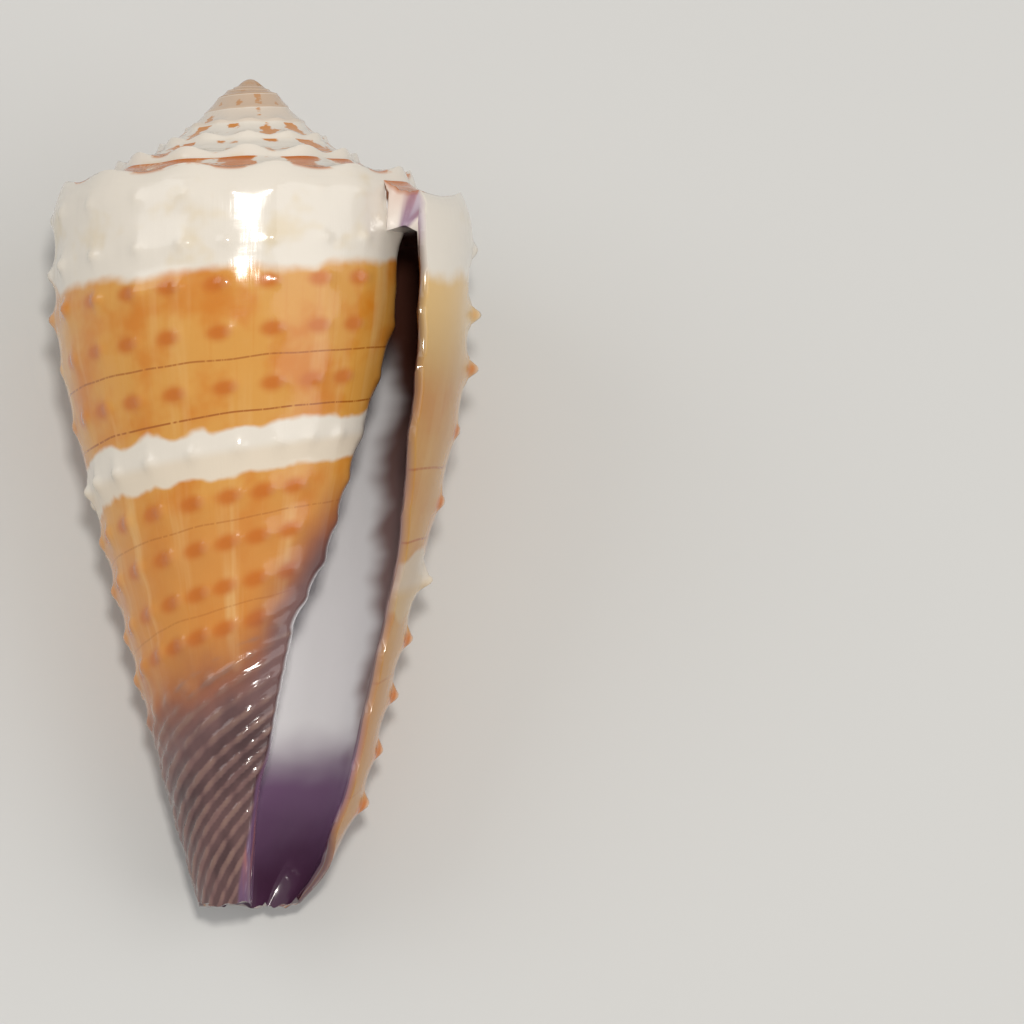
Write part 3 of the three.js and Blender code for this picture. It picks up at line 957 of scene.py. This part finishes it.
def porcelain():
    """Glossy shell: every colour and mark comes from the skin's own fields."""
    material = bpy.data.materials.new("cone_shell_porcelain")
    paint = Paint(material)
    side = base_colour(paint, body_colour(paint))
    turns = paint.field("turns")
    behind = paint.times(paint.smooth(0.7, 0.35, turns), 0.42)
    by_lip = paint.times(paint.smooth(0.16, 0.08, turns), 0.2)
    pearly = paint.plus(0.06, behind, by_lip)
    side = paint.mix(side, PEARL, paint.times(paint.smooth(0.3, 1.0, paint.field("tip")), pearly))
    ramp = paint.field("ramp")
    outside = paint.mix(spire_colour(paint), side, paint.smooth(1.2, 1.5, ramp))
    # Dims the outside only, so that the inside's painted light stands out.
    outside = paint.mix(BLACK, outside, OUTSIDE_SHARE)
    inside = paint.mix(aperture_colour(paint), parietal_colour(paint), paint.smooth(0.75, 0.8, turns))
    colour = paint.mix(outside, inside, paint.smooth(0.15, 0.85, paint.field("inside")))
    paint.feed(paint.shader.inputs["Base Color"], colour)

    growth = paint.pattern(190.0, 0.25, 3.0, 0.6, 61.0)
    striae = paint.pattern(5.0, 2.6, 2.0, 0.5, 67.0)
    pits = paint.pattern(60.0, 1.3, 3.0, 0.5, 71.0)
    relief = paint.plus(paint.times(growth, 0.5), paint.times(striae, 0.35), paint.times(pits, 0.3))
    height = paint.times(relief, paint.minus(1.0, paint.field("inside")))
    bump = paint.node("ShaderNodeBump", (BUMP_STRENGTH, BUMP_DISTANCE, None, height))
    paint.feed(paint.shader.inputs["Normal"], bump.outputs[0])
    pitted = paint.times(paint.smooth(0.5, 0.8, pits), 0.1)
    lined = paint.times(paint.smooth(0.5, 0.8, growth), 0.05)
    paint.feed(paint.shader.inputs["Roughness"], paint.plus(LEAST_ROUGHNESS, pitted, lined))
    paint.feed(paint.shader.inputs["Coat Weight"], COAT_WEIGHT)
    paint.feed(paint.shader.inputs["Coat Roughness"], COAT_ROUGHNESS)
    return material


# ---- the piece ----


SHARP_ANGLE = np.radians(62.0)


def make_shell(skin, low, high):
    """Lays the shell in the CAD shell's box, and returns it with the matrix that laid it there."""
    mesh = skin.mesh("cone_shell")
    mesh.materials.append(porcelain())
    turn_over = Matrix.Rotation(APEX_RAISED - np.pi / 2.0, 4, "X") @ Matrix.Rotation(ROLL, 4, "Z")
    mesh.transform(turn_over)
    places = np.empty(len(mesh.vertices) * 3)
    mesh.vertices.foreach_get("co", places)
    places = places.reshape(-1, 3)
    centre = (places.min(0) + places.max(0)) / 2.0
    wanted = (low + high) / 2.0
    step = Vector((wanted.x - centre[0], wanted.y - centre[1], low.z - places[:, 2].min()))
    mesh.transform(Matrix.Translation(step))
    mesh.polygons.foreach_set("use_smooth", np.ones(len(mesh.polygons), bool))
    mesh.set_sharp_from_angle(angle=SHARP_ANGLE)
    shell = bpy.data.objects.new("cone_shell", mesh)
    bpy.context.scene.collection.objects.link(shell)
    return shell, Matrix.Translation(step) @ turn_over


# ---- the stage ----

# The view: square on to the aperture, from a little towards the base
VIEW_TILT = np.radians(4.0)
VIEW_WIDTH = 39.47
LENS = 300.0
SENSOR = 36.0
# From the apex to the middle of the picture
VIEW_RIGHT = 10.1
VIEW_DOWN = 16.69

FLOOR_HALF = 1.5
FLOOR_COLOUR = (0.56, 0.56, 0.55)
FLOOR_ROUGHNESS = 0.7


def make_floor():
    half = FLOOR_HALF
    corners = [(-half, -half, 0), (half, -half, 0), (half, half, 0), (-half, half, 0)]
    mesh = bpy.data.meshes.new("floor")
    mesh.from_pydata(corners, [], [(0, 1, 2, 3)])
    floor = bpy.data.objects.new("floor", mesh)
    bpy.context.scene.collection.objects.link(floor)
    material = bpy.data.materials.new("pale_floor")
    paint = Paint(material)
    paint.feed(paint.shader.inputs["Base Color"], FLOOR_COLOUR)
    paint.feed(paint.shader.inputs["Roughness"], FLOOR_ROUGHNESS)
    mesh.materials.append(material)


def look_from(laid):
    """Axes of the view: right, up and back towards the camera."""
    turn = laid.to_3x3()
    back = turn @ Vector((0.0, -np.cos(VIEW_TILT), -np.sin(VIEW_TILT)))
    up = turn @ Vector((0.0, -np.sin(VIEW_TILT), np.cos(VIEW_TILT)))
    return up.cross(back), up, back


def axes_matrix(right, up, back, origin):
    matrix = Matrix((right, up, back)).transposed().to_4x4()
    matrix.translation = origin
    return matrix


def make_camera(laid):
    right, up, back = look_from(laid)
    apex = laid.translation
    middle = apex + (right * VIEW_RIGHT - up * VIEW_DOWN) * MM
    data = bpy.data.cameras.new("camera")
    data.lens = LENS
    data.sensor_width = SENSOR
    data.clip_start = 0.01
    distance = VIEW_WIDTH * MM * LENS / SENSOR
    camera = bpy.data.objects.new("camera", data)
    camera.matrix_world = axes_matrix(right, up, back, middle + back * distance)
    bpy.context.scene.collection.objects.link(camera)
    bpy.context.scene.camera = camera


def add_light(name, laid, direction, distance, size, power, colour):
    """An area light. Its direction is given in the view: right, up, towards the camera."""
    right, up, back = look_from(laid)
    middle = laid @ Vector((0.0, 0.0, -0.5 * LENGTH * MM))
    way = (right * direction[0] + up * direction[1] + back * direction[2]).normalized()
    data = bpy.data.lights.new(name, "AREA")
    data.size = size
    data.energy = power
    data.color = colour
    light = bpy.data.objects.new(name, data)
    turned = way.to_track_quat("Z", "Y").to_matrix().to_4x4()
    light.matrix_world = Matrix.Translation(middle + way * distance) @ turned
    bpy.context.scene.collection.objects.link(light)


NEUTRAL = (1.0, 1.0, 1.0)
WARM = (1.0, 0.96, 0.9)
# Name, direction, distance and size in metres, watts, colour
LIGHTS = (
    ("key", (0.06, 0.16, 1.0), 0.4, 0.03, 0.72, WARM),
    ("left_soft", (-1.0, 0.6, 0.9), 0.45, 0.3, 0.4, NEUTRAL),
    ("right_soft", (0.9, 0.1, 0.8), 0.45, 0.4, 0.6, NEUTRAL),
)
WORLD_COLOUR = (1.0, 0.99, 0.97, 1.0)
WORLD_STRENGTH = 0.46


def make_lights(laid):
    for name, direction, distance, size, power, colour in LIGHTS:
        add_light(name, laid, direction, distance, size, power, colour)
    world = bpy.data.worlds.new("studio")
    bpy.context.scene.world = world
    world.use_nodes = True
    background = world.node_tree.nodes["Background"]
    background.inputs["Color"].default_value = WORLD_COLOUR
    background.inputs["Strength"].default_value = WORLD_STRENGTH


# ---- the scene ----

shell, laid = make_shell(make_skin(), *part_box("shell"))
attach(shell, "root")
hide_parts("shell")
make_floor()
make_camera(laid)
make_lights(laid)
bpy.context.scene.view_settings.view_transform = "Standard"
